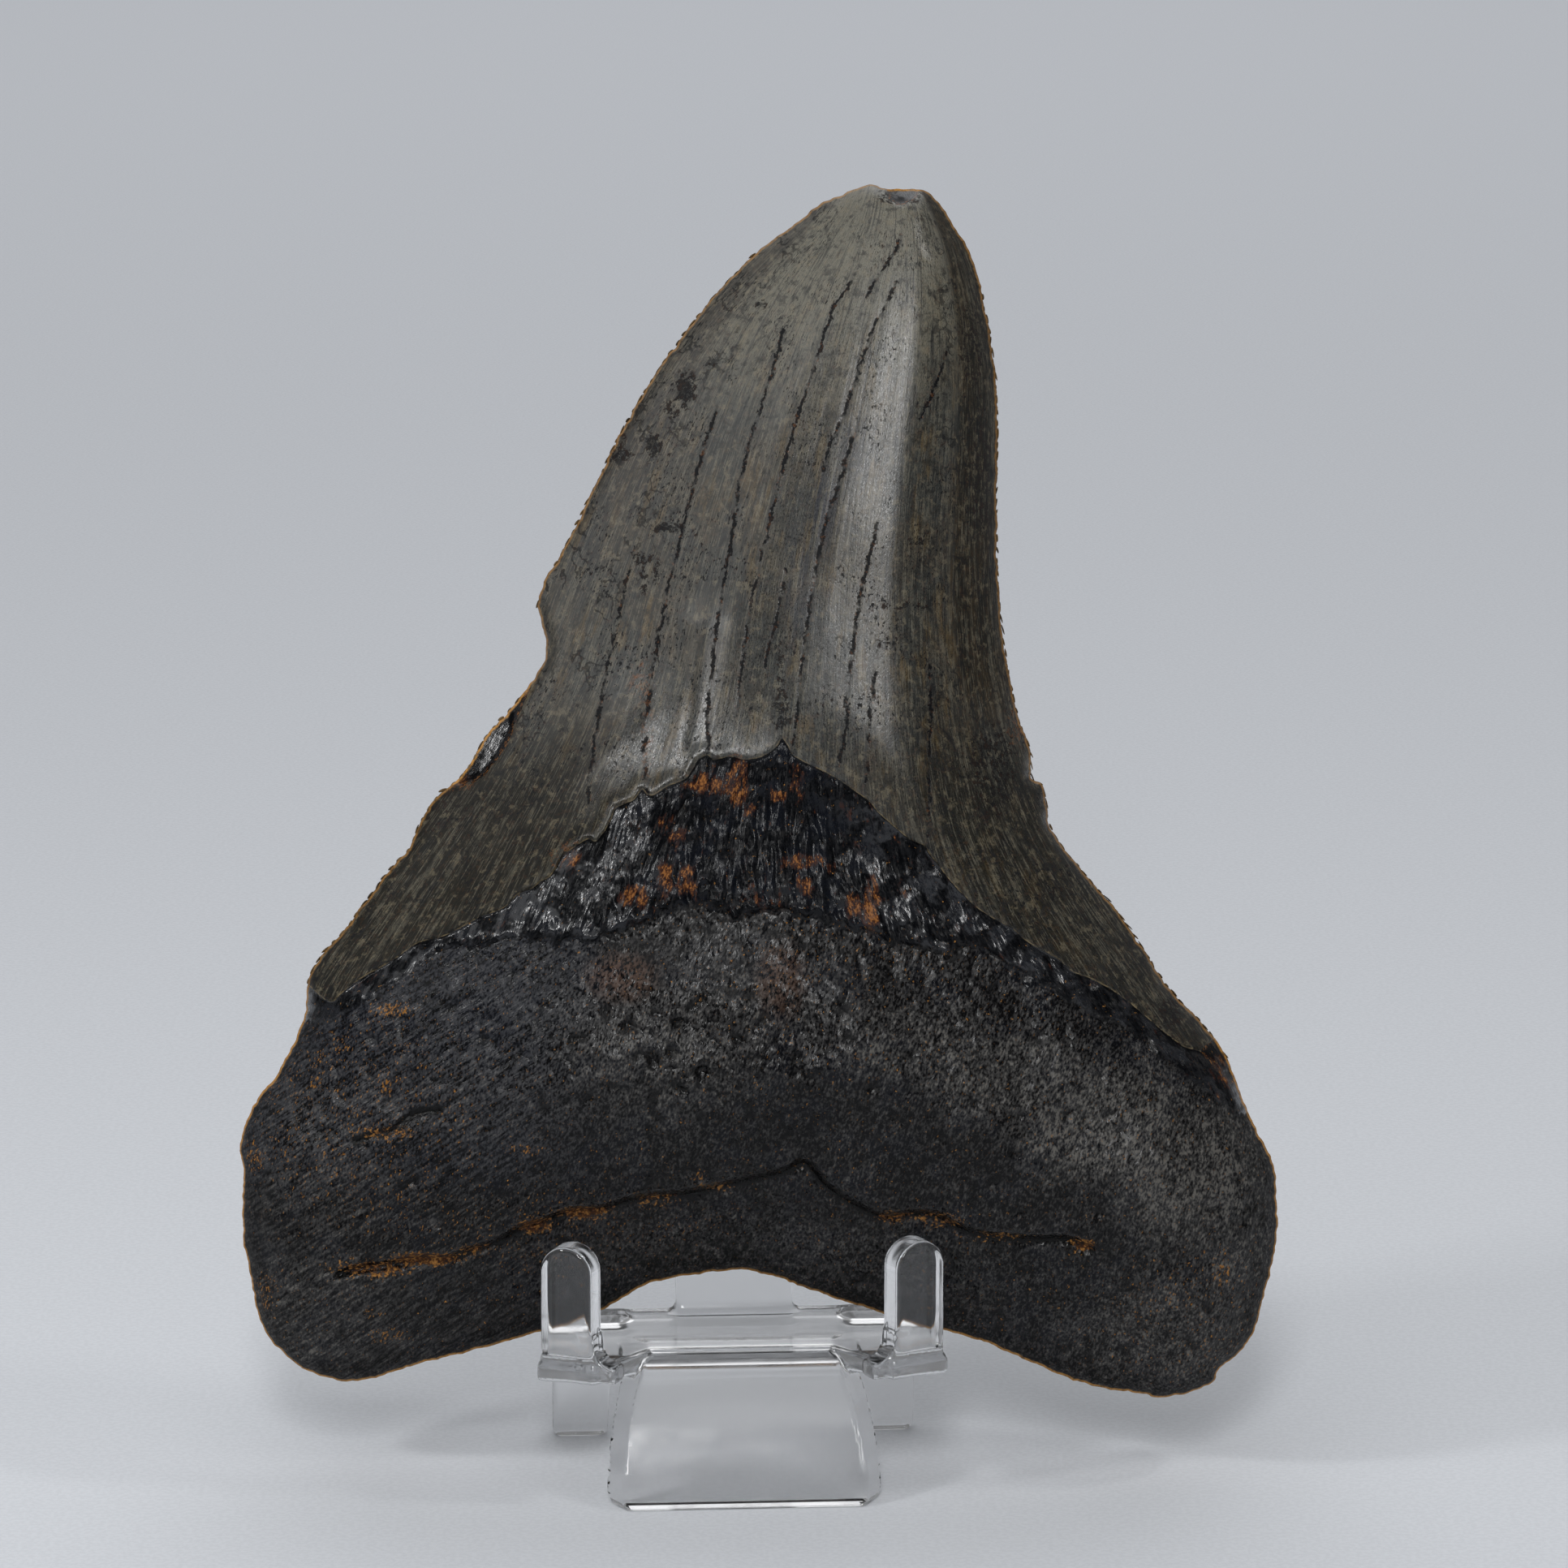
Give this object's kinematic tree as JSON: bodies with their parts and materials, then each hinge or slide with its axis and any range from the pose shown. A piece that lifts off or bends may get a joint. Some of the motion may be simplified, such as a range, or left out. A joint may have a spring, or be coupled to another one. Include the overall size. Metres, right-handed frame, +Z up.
{
  "type": "megalodon tooth on a clear stand",
  "caption": "Large fossil shark tooth with a serrated, tapering crown and a two-lobed root, leaning upright on a small clear moulded easel stand.",
  "frame": {"origin": "on the floor, under the middle of the whole object's box", "axes": "+Z up, -Y is the front that the tooth's bulging inner face looks to, +X to the right seen from the front"},
  "size_m": [0.1, 0.039, 0.1212],
  "materials": {
    "fossil tooth": "mineralised tooth: semi-gloss grey-brown enamel on the crown, near-black granular root",
    "clear acrylic": "clear colourless moulded acrylic, polished"
  },
  "bodies": {
    "root": {"tooth": "fossil tooth", "stand": "clear acrylic"}
  },
  "joints": []
}
